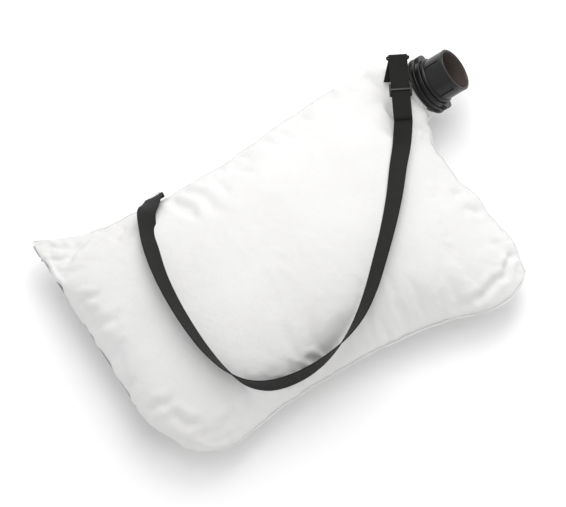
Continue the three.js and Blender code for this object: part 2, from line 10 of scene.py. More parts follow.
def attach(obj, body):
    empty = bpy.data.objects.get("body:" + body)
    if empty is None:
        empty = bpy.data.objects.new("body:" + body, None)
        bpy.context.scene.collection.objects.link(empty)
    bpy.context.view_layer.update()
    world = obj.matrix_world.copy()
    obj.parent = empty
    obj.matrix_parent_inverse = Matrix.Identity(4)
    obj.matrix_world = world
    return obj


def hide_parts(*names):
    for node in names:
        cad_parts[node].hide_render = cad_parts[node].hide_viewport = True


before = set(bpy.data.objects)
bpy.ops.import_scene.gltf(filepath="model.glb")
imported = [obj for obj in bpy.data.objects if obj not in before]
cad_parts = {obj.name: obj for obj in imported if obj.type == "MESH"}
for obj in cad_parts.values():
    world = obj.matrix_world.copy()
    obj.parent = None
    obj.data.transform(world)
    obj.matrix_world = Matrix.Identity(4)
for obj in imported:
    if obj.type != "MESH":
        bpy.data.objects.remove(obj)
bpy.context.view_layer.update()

# ---- Driving dimensions, as in the CAD part ----
MM = 0.001
SEAM_HEIGHT = 52 * MM
CROWN = 150 * MM
CORNER = {"tip": (-320, 238), "neck": (302, 222), "foot": (-287, -199), "heel": (322, -212)}
SIDES = {
    "top": [CORNER["tip"], (-250, 205), (-110, 194), (30, 199), (170, 217), CORNER["neck"]],
    "bottom": [
        CORNER["foot"], (-235, -224), (-120, -209), (0, -203), (140, -211), (268, -238), CORNER["heel"],
    ],
    "left": [
        CORNER["foot"], (-313, -152), (-323, -105), (-323, 0), (-323, 110), (-323, 205), CORNER["tip"],
    ],
    "right": [
        CORNER["heel"], (331, -156), (325, -100), (326, -60), (315, -18), (313, 22), (316, 60), (328, 90),
        CORNER["neck"],
    ],
}
NECK_END = (328, 90)
NECK_HALF_HEIGHT = 38 * MM
BULGE = {"edge": 2.4, "crown": 0.8, "floor": 1.6}
FADE = {"neck": 8, "zip": 12}

FLANGE_CENTRE = Vector((359, 144, 67)) * MM
TILT = math.radians(36.5)
TURN = math.radians(-15)
EAR_ANGLE = math.radians(-63)
SLOT_ANGLE = math.radians(-18)

ZIP = {"x": -324, "from": -98, "to": 214, "drop": 19, "split": 1, "tape_edge": 12.1}

WEBBING = {"width": 30 * MM, "thickness": 1.8 * MM}
GAP = 0.3 * MM
RING = {"wire": 1.6 * MM, "inside": 31.4 * MM, "pitch": 9 * MM, "corner": 2.4 * MM}
GLIDE = {"from_ring": 59 * MM, "length": 20 * MM, "rail": 3 * MM, "bar": 3.4 * MM, "bar_thickness": 1.6 * MM}
# x, y, z and bank of the webbing's centre line: 0 stands on edge, 90 lies flat.
ROUTE = [
    (-116, 200, 56, 90),
    (-118, 200, 64, 90),
    (-124, 194, 73, 88),
    (-134, 183, 85, 84),
    (-151, 166, 104, 78),
    (-167, 134, 117, 68),
    (-183, 94, 132, 58),
    (-195, 46, 141, 50),
    (-201, -5, 144, 46),
    (-202, -55, 143, 42),
    (-198, -101, 138, 36),
    (-187, -142, 130, 24),
    (-167, -172, 118, 6),
    (-137, -188, 103, -8),
    (-104, -193, 91, -12),
    (-72, -194, 88, -10),
    (-38, -192, 94, 0),
    (2, -184, 109, 18),
    (38, -169, 124, 34),
    (74, -144, 138, 44),
    (113, -108, 147, 50),
    (150, -71, 149, 54),
    (189, -27, 143, 60),
    (225, 19, 130, 68),
    (255, 56, 116, 80),
]
REAR_ROOT = Vector((-115, 198, 49)) * MM
FRONT_ROOT = Vector((307, 167, 95)) * MM
CREST = Vector((331, 192, 118)) * MM
TAIL_END = Vector((279, 90, 112)) * MM
UP = Vector((0, 0, 1))


# ---- Small helpers ----
def smoothstep(value, low, high):
    t = np.clip((np.asarray(value, float) - low) / (high - low), 0, 1)
    return t * t * (3 - 2 * t)


def catmull_rom(points, per_span=24):
    """A centripetal curve through the points, with per_span steps from each point to the next."""
    p = np.array(points, float)
    p = np.vstack([2 * p[0] - p[1], p, 2 * p[-1] - p[-2]])
    made = []
    for a, b, c, d in zip(p, p[1:], p[2:], p[3:]):
        ta = 0.0
        tb = ta + np.linalg.norm(b - a) ** 0.5
        tc = tb + np.linalg.norm(c - b) ** 0.5
        td = tc + np.linalg.norm(d - c) ** 0.5
        for t in np.linspace(tb, tc, per_span, endpoint=False):
            ab = a + (b - a) * (t - ta) / (tb - ta)
            bc = b + (c - b) * (t - tb) / (tc - tb)
            cd = c + (d - c) * (t - tc) / (td - tc)
            abc = ab + (bc - ab) * (t - ta) / (tc - ta)
            bcd = bc + (cd - bc) * (t - tb) / (td - tb)
            made.append(abc + (bcd - abc) * (t - tb) / (tc - tb))
    made.append(p[-2])
    return np.array(made)


def by_length(line):
    """The share of a line's length at each of its points."""
    steps = np.linalg.norm(np.diff(line, axis=0), axis=1)
    along = np.concatenate([[0], np.cumsum(steps)])
    return along / along[-1]


def at_share(line, share):
    """The points at these shares of a line's length."""
    places = by_length(line)
    return np.stack([np.interp(share, places, line[:, k]) for k in range(line.shape[1])], -1)


def mesh_object(name, points, faces, smooth=True):
    mesh = bpy.data.meshes.new(name)
    mesh.from_pydata([tuple(p) for p in points], [], faces)
    mesh.validate()
    mesh.update()
    if smooth:
        mesh.shade_smooth()
    piece = bpy.data.objects.new(name, mesh)
    bpy.context.scene.collection.objects.link(piece)
    return piece


def grid_faces(rows, columns, join_rows=False, join_columns=False):
    """Quads of a grid of points, row after row."""
    faces = []
    for i in range(rows if join_rows else rows - 1):
        for j in range(columns if join_columns else columns - 1):
            k, m = (i + 1) % rows, (j + 1) % columns
            faces.append((i * columns + j, i * columns + m, k * columns + m, k * columns + j))
    return faces


def apply_modifiers(piece):
    """Puts the modifiers' result into the mesh and removes them."""
    graph = bpy.context.evaluated_depsgraph_get()
    mesh = bpy.data.meshes.new_from_object(piece.evaluated_get(graph))
    piece.modifiers.clear()
    piece.data = mesh


def read_vectors(items, name):
    flat = np.zeros(len(items) * 3, np.float32)
    items.foreach_get(name, flat)
    return flat.reshape(-1, 3).astype(float)


def read_points(piece):
    return read_vectors(piece.data.vertices, "co")


def read_normals(piece):
    return read_vectors(piece.data.vertex_normals, "vector")


def write_points(piece, points):
    piece.data.vertices.foreach_set("co", points.astype(np.float32).ravel())
    piece.data.update()


def finish_piece(piece, body, slot, look, *nodes):
    """Gives a piece its body and material, and hides the CAD nodes that it stands for. The slot argument is
    not used.
    """
    piece.data.materials.clear()
    piece.data.materials.append(look)
    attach(piece, body)
    if nodes:
        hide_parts(*nodes)
    return piece


def combine(piece, other, operation):
    """Joins or cuts a closed mesh with another one, which is used up."""
    modifier = piece.modifiers.new("combine", "BOOLEAN")
    modifier.operation = operation
    modifier.solver = "EXACT"
    modifier.object = other
    apply_modifiers(piece)
    bpy.data.objects.remove(other)


def sharpen(piece, degrees=40):
    piece.data.shade_smooth()
    piece.data.set_sharp_from_angle(angle=math.radians(degrees))


# ---- Materials ----
class Look:
    """A procedural material round one Principled shader."""

    def __init__(self, name, color, roughness, **settings):
        self.material = bpy.data.materials.new(name)
        self.material.use_nodes = True
        self.nodes = self.material.node_tree.nodes
        self.shader = self.nodes["Principled BSDF"]
        self.shader.inputs["Base Color"].default_value = (*color, 1)
        self.shader.inputs["Roughness"].default_value = roughness
        for socket, value in settings.items():
            self.shader.inputs[socket.replace("_", " ")].default_value = value

    def link(self, source, target):
        self.material.node_tree.links.new(source, target)

    def place(self, kind="Object"):
        return self.nodes.new("ShaderNodeTexCoord").outputs[kind]

    def noise(self, where, scale, detail=3.0, roughness=0.5):
        node = self.nodes.new("ShaderNodeTexNoise")
        node.inputs["Scale"].default_value = scale
        node.inputs["Detail"].default_value = detail
        node.inputs["Roughness"].default_value = roughness
        self.link(where, node.inputs["Vector"])
        return node.outputs["Fac"]

    def waves(self, where, direction, pitch, distortion=0.0):
        """Ridges across one direction, with this distance from ridge to ridge."""
        node = self.nodes.new("ShaderNodeTexWave")
        node.bands_direction = direction
        node.wave_profile = "SIN"
        node.inputs["Scale"].default_value = 2 * math.pi / (20 * pitch)
        node.inputs["Distortion"].default_value = distortion
        node.inputs["Detail Scale"].default_value = 2.0
        self.link(where, node.inputs["Vector"])
        return node.outputs["Fac"]

    def math(self, operation, a, b):
        node = self.nodes.new("ShaderNodeMath")
        node.operation = operation
        for value, socket in zip((a, b), node.inputs):
            if isinstance(value, (int, float)):
                socket.default_value = value
            else:
                self.link(value, socket)
        return node.outputs[0]

    def ramp(self, source, *stops):
        node = self.nodes.new("ShaderNodeValToRGB")
        while len(node.color_ramp.elements) < len(stops):
            node.color_ramp.elements.new(0.5)
        for element, (place, color) in zip(node.color_ramp.elements, stops):
            element.position = place
            element.color = (*color, 1)
        self.link(source, node.inputs["Fac"])
        return node.outputs["Color"]

    def color(self, source):
        self.link(source, self.shader.inputs["Base Color"])

    def roughness(self, source, low, high):
        node = self.nodes.new("ShaderNodeMapRange")
        node.inputs["To Min"].default_value = low
        node.inputs["To Max"].default_value = high
        self.link(source, node.inputs["Value"])
        self.link(node.outputs["Result"], self.shader.inputs["Roughness"])

    def bump(self, *layers):
        """Layers of (height, distance in metres), one on another."""
        normal = None
        for height, distance in layers:
            node = self.nodes.new("ShaderNodeBump")
            node.inputs["Strength"].default_value = 1.0
            node.inputs["Distance"].default_value = distance
            self.link(height, node.inputs["Height"])
            if normal is not None:
                self.link(normal, node.inputs["Normal"])
            normal = node.outputs["Normal"]
        self.link(normal, self.shader.inputs["Normal"])


def white_fabric():
    """Close-woven white polyester: fine threads both ways, faint rumpling and a soft sheen."""
    look = Look("white_fabric", (0.75, 0.75, 0.75), 0.85, Sheen_Weight=0.12, Sheen_Roughness=0.5)
    look.shader.inputs["Specular IOR Level"].default_value = 0.25
    where = look.place()
    cloudy = look.noise(where, 9, 4)
    look.color(look.ramp(cloudy, (0.3, (0.735, 0.73, 0.72)), (0.7, (0.775, 0.772, 0.77))))
    warp = look.waves(where, "X", 0.0009, 0.4)
    weft = look.waves(where, "Y", 0.0009, 0.4)
    weave = look.math("MULTIPLY", warp, weft)
    rumple = look.noise(where, 60, 5, 0.6)
    look.roughness(look.noise(where, 220, 2), 0.78, 0.92)
    look.bump((rumple, 0.0012), (weave, 0.00012))
    return look.material


def white_thread():
    look = Look("white_thread", (0.8, 0.8, 0.8), 0.7)
    where = look.place()
    look.bump((look.noise(where, 1500, 2), 0.0001))
    look.color(look.ramp(look.noise(where, 300), (0.3, (0.74, 0.74, 0.74)), (0.7, (0.84, 0.84, 0.84))))
    return look.material


def black_webbing():
    """Coarse webbing: ribs across, warp threads along and a little dust."""
    look = Look("black_webbing", (0.012, 0.012, 0.011), 0.75, Sheen_Weight=0.06, Sheen_Roughness=0.4)
    look.shader.inputs["Specular IOR Level"].default_value = 0.3
    where = look.place("UV")
    ribs = look.waves(where, "Y", 0.0017, 0.5)
    warp = look.waves(where, "X", 0.0011, 0.7)
    weave = look.math("MULTIPLY", ribs, warp)
    dust = look.noise(where, 140, 4, 0.7)
    tone = look.math("ADD", look.math("MULTIPLY", weave, 0.6), look.math("MULTIPLY", dust, 0.4))
    look.color(look.ramp(tone, (0.15, (0.003, 0.003, 0.0026)), (0.75, (0.016, 0.016, 0.0135))))
    look.roughness(dust, 0.7, 0.9)
    look.bump((weave, 0.0006), (look.noise(where, 900, 3), 0.0002))
    return look.material


def black_thread():
    look = Look("black_thread", (0.02, 0.02, 0.02), 0.55)
    where = look.place()
    look.color(look.ramp(look.noise(where, 500), (0.3, (0.012, 0.012, 0.012)), (0.7, (0.05, 0.05, 0.05))))
    look.bump((look.noise(where, 1800, 2), 0.0001))
    return look.material


def moulded_plastic(name, color, roughness, grain, coat):
    """Moulded plastic: fine grain, faint flow marks and duller handling marks."""
    look = Look(name, color, roughness, Coat_Weight=coat, Coat_Roughness=0.15)
    look.shader.inputs["Specular IOR Level"].default_value = 0.35
    where = look.place()
    flow = look.noise(where, 18, 4, 0.6)
    dark, light = tuple(c * 0.8 for c in color), tuple(c * 1.5 for c in color)
    look.color(look.ramp(flow, (0.3, dark), (0.75, light)))
    look.roughness(look.noise(where, 70, 5, 0.65), roughness - 0.06, roughness + 0.12)
    look.bump((look.noise(where, 2400, 2), grain), (look.noise(where, 45, 2), 0.0002))
    return look.material


def plated_metal():
    look = Look("plated_metal", (0.5, 0.5, 0.52), 0.35, Metallic=1.0)
    where = look.place()
    scuffs = look.noise(where, 400, 6, 0.7)
    look.color(look.ramp(scuffs, (0.35, (0.30, 0.30, 0.31)), (0.7, (0.62, 0.62, 0.64))))
    look.roughness(scuffs, 0.25, 0.5)
    look.bump((look.noise(where, 900, 3), 0.00008))
    return look.material


def zip_tape_fabric():
    """Knitted tape: cords along the zip and a herringbone of fine stitches."""
    look = Look("zip_tape", (0.68, 0.68, 0.69), 0.85, Sheen_Weight=0.2)
    where = look.place("UV")
    cords = look.waves(where, "X", 0.0012, 0.3)
    stitches = look.waves(where, "DIAGONAL", 0.0008, 0.4)
    knit = look.math("MULTIPLY", cords, stitches)
    look.color(look.ramp(knit, (0.1, (0.55, 0.55, 0.56)), (0.8, (0.74, 0.74, 0.75))))
    look.bump((knit, 0.0003), (look.noise(where, 700, 3), 0.0001))
    return look.material


def zip_nylon():
    look = Look("zip_nylon", (0.4, 0.4, 0.42), 0.4, Coat_Weight=0.1)
    where = look.place()
    look.color(look.ramp(look.noise(where, 120, 3), (0.3, (0.33, 0.34, 0.35)), (0.7, (0.46, 0.46, 0.48))))
    look.bump((look.noise(where, 1600, 2), 0.00006))
    return look.material


FABRIC = white_fabric()
WHITE_THREAD = white_thread()
STRAP = black_webbing()
BLACK_THREAD = black_thread()
COUPLER_PLASTIC = moulded_plastic("coupler_plastic", (0.006, 0.0055, 0.006), 0.28, 0.00003, 0.1)
# The bore's plastic is the coupler's own moulded plastic made lighter. This is painted light, standing in
# for light that shines through the tube wall into the bore.
COUPLER_BORE_PAINTED_LIGHT = moulded_plastic("coupler_inside_painted_light", (0.07, 0.055, 0.048), 0.6, 0.00006, 0.0)
RING_PLASTIC = moulded_plastic("ring_plastic", (0.004, 0.0038, 0.0042), 0.27, 0.00004, 0.0)
METAL = plated_metal()
TAPE = zip_tape_fabric()
NYLON = zip_nylon()


# ---- Coupler frame ----
COUPLER_AXIS = Vector(
    (math.cos(TILT) * math.cos(TURN), math.cos(TILT) * math.sin(TURN), math.sin(TILT))
)
COUPLER_UP = (UP - COUPLER_AXIS * UP.dot(COUPLER_AXIS)).normalized()
COUPLER_SIDE = COUPLER_AXIS.cross(COUPLER_UP)
COUPLER_FRAME = Matrix.Translation(FLANGE_CENTRE) @ Matrix(
    (COUPLER_UP, COUPLER_SIDE, COUPLER_AXIS)
).transposed().to_4x4()


# ---- Bag cloth ----
CELL = 6 * MM
SHEET = {"long": 0.64, "short": 0.43}
SEAM_RADIUS = 0.9 * MM
SEAM_STEP = 3 * MM
side_line = {name: catmull_rom([(x * MM, y * MM) for x, y in points]) for name, points in SIDES.items()}
corner = {name: np.array(place) * MM for name, place in CORNER.items()}
right_length = np.linalg.norm(np.diff(side_line["right"], axis=0), axis=1).sum()
NECK_SHARE = np.linalg.norm(corner["neck"] - np.array(NECK_END) * MM) / right_length


def plan(u, v):
    """Plan positions at u and v, both from -1 to 1, blended from the four sides."""
    s, t = (u + 1) / 2, (v + 1) / 2
    s_, t_ = s[..., None], t[..., None]
    lengthwise = at_share(side_line["bottom"], s) * (1 - t_) + at_share(side_line["top"], s) * t_
    across = at_share(side_line["left"], t) * (1 - s_) + at_share(side_line["right"], t) * s_
    low = corner["foot"] * (1 - s_) + corner["heel"] * s_
    high = corner["tip"] * (1 - s_) + corner["neck"] * s_
    return lengthwise + across - (low * (1 - t_) + high * t_)


def fullness(u, v):
    fall = (1 - np.abs(u) ** BULGE["edge"]) * (1 - np.abs(v) ** BULGE["edge"])
    return np.clip(fall, 0, 1) ** BULGE["crown"]


def neck_rise(u, v, half_height):
    place = (1 - v) / 2 / NECK_SHARE
    arch = np.sqrt(np.clip(1 - (2 * place - 1) ** 2, 0, 1))
    return np.where((u > 0) & (place < 1), half_height * arch * np.clip(u, 0, 1) ** FADE["neck"], 0)


def zip_strip(u, y):
    begun = smoothstep(y, (ZIP["from"] - 62) * MM, (ZIP["from"] - 32) * MM)
    ended = smoothstep(y, (ZIP["to"] + 2) * MM, (ZIP["to"] + 20) * MM)
    return begun * (1 - ended) * np.clip(-u, 0, 1) ** FADE["zip"]


def front_points(u, v):
    """The front panel. Towards the zip it turns over the edge more roundly, but not at the flat tip."""
    place = plan(u, v)
    rounder = smoothstep(-u, 0.5, 0.95) * (1 - smoothstep(v, 0.45, 0.9))
    bulge = fullness(u, v) ** (1 - 0.24 * rounder)
    height = SEAM_HEIGHT + neck_rise(u, v, NECK_HALF_HEIGHT) + (CROWN - SEAM_HEIGHT) * bulge
    return np.concatenate([place, height[..., None]], -1)


def back_points(u, v):
    place = plan(u, v)
    drawn_in = ZIP["drop"] * MM * zip_strip(u, place[..., 1])
    depth = SEAM_HEIGHT * np.minimum(1, BULGE["floor"] * fullness(u, v))
    height = SEAM_HEIGHT - neck_rise(u, v, NECK_HALF_HEIGHT) - drawn_in - depth
    place[..., 0] += drawn_in
    return np.concatenate([place, np.maximum(height, 0)[..., None]], -1)


def neck_rows(opening, angles):
    """Rings of points from the panels' oval opening to the lip clamped under the flange."""
    def circle(radius, height):
        ring = [
            COUPLER_FRAME @ Vector((radius * math.cos(a), radius * math.sin(a), height)) for a in angles
        ]
        return np.array(ring)

    hem = circle(45.4 * MM, -12 * MM)
    start_pull = np.array((0.026, -0.004, 0.006))
    end_pull = np.array(COUPLER_AXIS) * 0.026
    rows = []
    for t in np.linspace(0, 1, 8)[1:]:
        keep, go = 2 * t**3 - 3 * t**2 + 1, -2 * t**3 + 3 * t**2
        leave, arrive = t**3 - 2 * t**2 + t, t**3 - t**2
        rows.append(opening * keep + hem * go + start_pull * leave + end_pull * arrive)
    lips = [(45.6, -8), (45.2, -4.6), (43.5, -3.6), (38, -3.6)]
    rows += [circle(radius * MM, height * MM) for radius, height in lips]
    return rows


def bag_shell():
    """The whole bag as one sheet: front and back welded at the seam, and the neck."""
    columns, rows = round(SHEET["long"] / CELL), round(SHEET["short"] / CELL)
    u, v = np.meshgrid(np.linspace(-1, 1, columns + 1), np.linspace(-1, 1, rows + 1), indexing="ij")
    front, back = front_points(u, v), back_points(u, v)
    count = front.shape[0] * front.shape[1]
    points = [*front.reshape(-1, 3), *back.reshape(-1, 3)]
    faces = [face[::-1] for face in grid_faces(*front.shape[:2])]
    faces += [tuple(k + count for k in face) for face in grid_faces(*front.shape[:2])]

    # The opening's rim: along the front from the seam's end to NECK_END, and back along the back.
    place = (1 - v[-1]) / 2 / NECK_SHARE
    open_columns = [j for j in range(rows, -1, -1) if place[j] <= 1 + 1e-6]
    last = front.shape[0] - 1
    rim = [(last * (rows + 1) + j, place[j], 1) for j in open_columns]
    rim += [(count + last * (rows + 1) + j, place[j], -1) for j in reversed(open_columns[1:])]
    opening = np.array([points[k] for k, _, _ in rim])
    angles = [math.atan2(2 * p - 1, face * math.sqrt(max(0, 1 - (2 * p - 1) ** 2))) for _, p, face in rim]
    rings = neck_rows(opening, angles)
    start = len(points)
    ring_size = len(rim)
    for ring in rings:
        points.extend(ring)
    for r in range(len(rings)):
        for k in range(ring_size):
            m = (k + 1) % ring_size
            low = [rim[k][0], rim[m][0]] if r == 0 else [start + (r - 1) * ring_size + j for j in (k, m)]
            high = [start + r * ring_size + j for j in (k, m)]
            faces.append((low[0], low[1], high[1], high[0]))
    return mesh_object("bag_cloth", points, faces)


def weld(piece, distance):
    made = bmesh.new()
    made.from_mesh(piece.data)
    bmesh.ops.remove_doubles(made, verts=made.verts, dist=distance)
    bmesh.ops.recalc_face_normals(made, faces=made.faces)
    made.to_mesh(piece.data)
    made.free()


def seam_line():
    """The seam's own line, round the bag from the end of the neck to its start."""
    bottom = side_line["bottom"][::-1]
    right_open = at_share(side_line["right"], np.linspace(0, 1 - NECK_SHARE, 80))[::-1]
    flat = np.vstack([right_open, bottom[1:], side_line["left"][1:], side_line["top"][1:]])
    line = np.column_stack([flat, np.full(len(flat), SEAM_HEIGHT)])
    length = np.linalg.norm(np.diff(line, axis=0), axis=1).sum()
    return at_share(line, np.linspace(0, 1, round(length / SEAM_STEP)))


SEAM = seam_line()
seam_tangent = np.gradient(SEAM[:, :2], axis=0)
SEAM_OUTWARD = np.column_stack([-seam_tangent[:, 1], seam_tangent[:, 0], np.zeros(len(SEAM))])
SEAM_OUTWARD /= np.linalg.norm(SEAM_OUTWARD, axis=1)[:, None]


EDGE = {"drawn_in": 5 * MM, "stands_out": 3.5 * MM, "wave": 3 * MM}
NECK_FROM = {"x": (315 * MM, 330 * MM), "y": (40 * MM, 70 * MM)}


def plan_distance(places, x, y):
    return np.hypot(places[:, 0] - x, places[:, 1] - y)


def in_neck(places):
    return smoothstep(places[:, 0], *NECK_FROM["x"]) * smoothstep(places[:, 1], *NECK_FROM["y"])


def edge_shift(places, along):
    """How far the edge stands out at these places, or is drawn in where the value is negative."""
    soft = [noise.noise((a * 19, 4, 0)) + 0.5 * noise.noise((a * 47, 9, 0)) for a in along]
    wave = smoothstep(soft, -0.35, 0.55)
    zip_side = 1 - smoothstep(places[:, 0], -300 * MM, -270 * MM)
    off_tip = smoothstep(plan_distance(places, *corner["tip"]), 20 * MM, 60 * MM)
    off_strap = smoothstep(plan_distance(places, REAR_ROOT.x, REAR_ROOT.y), 25 * MM, 50 * MM)
    drawn_in = zip_side * off_tip * EDGE["drawn_in"] * wave
    stands_out = (1 - zip_side) * off_strap * (EDGE["stands_out"] - EDGE["wave"] * wave)
    return (stands_out - drawn_in) * (1 - in_neck(places))


def seam_tree():
    tree = KDTree(len(SEAM))
    for k, place in enumerate(SEAM):
        tree.insert(place, k)
    tree.balance()
    return tree


def pinned(piece):
    """The points that hold still: the seam, the edges of the openings and the neck."""
    points = read_points(piece)
    seam = seam_tree()
    open_edges = {k for edge in boundary_edges(piece.data) for k in edge}
    neck_from = FLANGE_CENTRE - COUPLER_AXIS * 20 * MM
    held = []
    for k, place in enumerate(points):
        on_neck = (Vector(place) - neck_from).dot(COUPLER_AXIS) > 0
        if on_neck or k in open_edges or seam.find(place)[2] < 2.5 * MM:
            held.append(k)
    return held


def boundary_edges(mesh):
    uses = {}
    for face in mesh.polygons:
        for edge in face.edge_keys:
            uses[edge] = uses.get(edge, 0) + 1
    return [edge for edge, count in uses.items() if count == 1]


def inflate(piece, frames=20):
    """Cloth simulation: slightly oversize cloth, blown up against its seams."""
    before = read_points(piece)
    group = piece.vertex_groups.new(name="held")
    group.add(pinned(piece), 1.0, "REPLACE")
    cloth = piece.modifiers.new("cloth", "CLOTH")
    settings = cloth.settings
    settings.quality = 6
    settings.mass = 0.15
    settings.tension_stiffness = 25
    settings.compression_stiffness = 25
    settings.shear_stiffness = 12
    settings.bending_stiffness = 0.15
    settings.use_pressure = True
    settings.uniform_pressure_force = 4
    settings.shrink_min = -0.035
    settings.effector_weights.gravity = 0
    settings.vertex_group_mass = "held"
    cloth.collision_settings.use_collision = False
    cloth.point_cache.frame_end = frames
    for step in range(1, frames + 1):
        bpy.context.scene.frame_set(step)
    apply_modifiers(piece)
    piece.vertex_groups.clear()
    return before


def cap_move(piece, before, outward, inward):
    """Limits how far the simulation moved each point, and keeps the bag on the floor."""
    normals = read_normals(piece)
    moved = read_points(piece) - before
    out = (moved * normals).sum(1)
    kept = np.clip(out, -inward, outward)
    capped = before + moved + normals * (kept - out)[:, None]
    capped[:, 2] = np.maximum(capped[:, 2], 0)
    write_points(piece, capped)


def seam_places(points):
    """Each point's distance to the seam, and the number of the seam's nearest point."""
    tree = seam_tree()
    found = [tree.find(place) for place in points]
    return np.array([f[2] for f in found]), np.array([f[1] for f in found])


def pucker(piece):
    """Short irregular ridges where the cloth is gathered into its seam, and soft undulations."""
    points, normals = read_points(piece), read_normals(piece)
    distance, nearest = seam_places(points)
    along = nearest * SEAM_STEP
    side = np.where(points[:, 2] > SEAM_HEIGHT, 0, 9)
    short = np.array([noise.noise((a * 75, s, d * 9)) for a, s, d in zip(along, side, distance)])
    long = np.array([noise.noise((a * 28, s + 3, d * 6)) for a, s, d in zip(along, side, distance)])
    near = (1 - np.exp(-distance / (3 * MM))) * np.exp(-distance / (22 * MM))
    wide = (1 - np.exp(-distance / (8 * MM))) * np.exp(-distance / (60 * MM))
    rolling = np.array([noise.noise(Vector(p) * 9 + Vector((5, 1, 2))) for p in points])
    inside = smoothstep(distance, 10 * MM, 80 * MM) * (points[:, 2] > 4 * MM)
    lift = 3.2 * MM * near * short + 4.0 * MM * wide * long + 3.0 * MM * inside * rolling
    moved = points + normals * (lift * (1 - in_neck(points)))[:, None]
    reach = np.where(points[:, 2] > SEAM_HEIGHT - 1 * MM, 18 * MM, 5 * MM)
    shift = edge_shift(points, along) * np.exp(-distance / reach)
    moved += SEAM_OUTWARD[nearest] * shift[:, None]
    moved[:, 2] = np.maximum(moved[:, 2], 0)
    write_points(piece, moved)


def perimeter_seam():
    """The rolled edge of the seam, just under the front panel."""
    shift = edge_shift(SEAM, np.arange(len(SEAM)) * SEAM_STEP)
    line = SEAM + SEAM_OUTWARD * (shift - 0.4 * MM)[:, None]
    line[:, 2] -= 0.9 * MM
    return tube("perimeter_seam", line, SEAM_RADIUS)


# Creases pressed into the front: x, y of both ends, half width and depth, all in millimetres.
CREASES = [
    ((-190, 178), (-216, 152), 7, 5),
    ((-252, 192), (-296, 172), 5, 5),
    ((-312, 226), (-280, 196), 4, 4),
    ((-322, 196), (-286, 180), 4, 3),
    ((317, -176), (286, -206), 5, 5),
    ((286, -206), (214, -219), 6, 5),
    ((300, -150), (322, -186), 8, 4),
    ((-60, -176), (-30, -196), 5, 5),
    ((-122, -186), (-84, -202), 5, 4),
    ((-70, 186), (-58, 96), 10, 4),
    ((-98, 176), (-92, 110), 9, 3),
    ((-290, -150), (-262, -186), 8, 5),
    ((-310, -120), (-278, -128), 7, 4),
    ((-312, 40), (-276, 34), 8, 3),
    ((-314, 96), (-282, 84), 6, 3),
    ((-228, -206), (-196, -188), 7, 4),
    ((312, -40), (288, -56), 9, 4),
    ((316, -86), (284, -84), 8, 3),
    ((306, 126), (288, 96), 5, 3),
    ((284, 150), (276, 112), 5, 4),
]


def creased(points, first, last, half_width, depth):
    """How deep one crease is at each point: a groove with a soft ridge on either side."""
    first, last = np.array(first) * MM, np.array(last) * MM
    along = last - first
    length = np.linalg.norm(along)
    along = along / length
    offset = points[:, :2] - first
    share = offset @ along / length
    across = offset @ np.array((-along[1], along[0]))
    across = across + 0.35 * half_width * MM * np.sin(7 * share + length * 90)
    place = across / (half_width * MM)
    groove = np.exp(-place**2) - 0.45 * np.exp(-((np.abs(place) - 1.9) ** 2))
    ends = smoothstep(share, -0.25, 0.2) * (1 - smoothstep(share, 0.7, 1.25))
    return depth * MM * groove * ends


def crease(piece):
    points, normals = read_points(piece), read_normals(piece)
    upper = smoothstep(points[:, 2], SEAM_HEIGHT - 2 * MM, SEAM_HEIGHT + 4 * MM)
    depth = sum(creased(points, *row) for row in CREASES)
    write_points(piece, points - normals * (depth * upper)[:, None])


def subdivide(piece, levels=1):
    modifier = piece.modifiers.new("subdivision", "SUBSURF")
    modifier.levels = modifier.render_levels = levels
    apply_modifiers(piece)


def tube(name, line, radius, sides=10, closed=False):
    """A round tube along a line of points."""
    line = np.array(line, float)
    points = []
    across = Vector((0, 0, 1))
    for k, place in enumerate(line):
        after = line[(k + 1) % len(line)] if closed or k + 1 < len(line) else place
        before = line[k - 1] if closed or k else place
        along = Vector(after - before).normalized()
        across = (across - along * across.dot(along)).normalized()
        other = along.cross(across)
        for turn in range(sides):
            angle = 2 * math.pi * turn / sides
            offset = across * math.cos(angle) + other * math.sin(angle)
            points.append(Vector(place) + offset * radius)
    faces = grid_faces(len(line), sides, join_rows=closed, join_columns=True)
    if not closed:
        faces.append(tuple(range(sides))[::-1])
        faces.append(tuple(range(len(points) - sides, len(points))))
    return mesh_object(name, points, faces)


bag = bag_shell()
weld(bag, 0.4 * MM)
cap_move(bag, inflate(bag), 4 * MM, 12 * MM)
subdivide(bag)
pucker(bag)
crease(bag)
finish_piece(bag, "bag", "white_fabric", FABRIC, "front_panel", "back_panel", "neck_sleeve")

finish_piece(perimeter_seam(), "bag", "white_fabric", FABRIC)


# ---- Webbing ----
def ribbon(name, stations, width, thickness):
    """Flat webbing with rounded, slightly raised edges. Each station is (centre, across, face)."""
    radius = thickness / 2
    flat = np.linspace(-(width / 2 - radius), width / 2 - radius, 11)
    turn = np.linspace(0, math.pi, 7)[1:-1]
    edge = width / 2 - radius
    section = [(x, -radius) for x in flat]
    section += [(edge + radius * math.sin(a), -radius * math.cos(a)) for a in turn]
    section += [(x, radius) for x in flat[::-1]]
    section += [(-edge - radius * math.sin(a), radius * math.cos(a)) for a in turn]
    raised = [1 + 0.1 * float(smoothstep(abs(x), edge - 2.4 * MM, edge - 1.2 * MM)) for x, _ in section]
    points = [
        centre + across * x + face * (y * lift)
        for centre, across, face in stations
        for (x, y), lift in zip(section, raised)
    ]
    size = len(section)
    faces = grid_faces(len(stations), size, join_columns=True)
    faces = [face[::-1] for face in faces]
    faces.append(tuple(range(size)))
    faces.append(tuple(range(len(points) - size, len(points)))[::-1])
    piece = mesh_object(name, points, faces)
    steps = [0.0]
    for (a, _, _), (b, _, _) in zip(stations, stations[1:]):
        steps.append(steps[-1] + (b - a).length)
    layer = piece.data.uv_layers.new(name="webbing")
    for loop in piece.data.loops:
        station, place = divmod(loop.vertex_index, size)
        layer.data[loop.index].uv = (section[place][0], steps[station])
    return piece


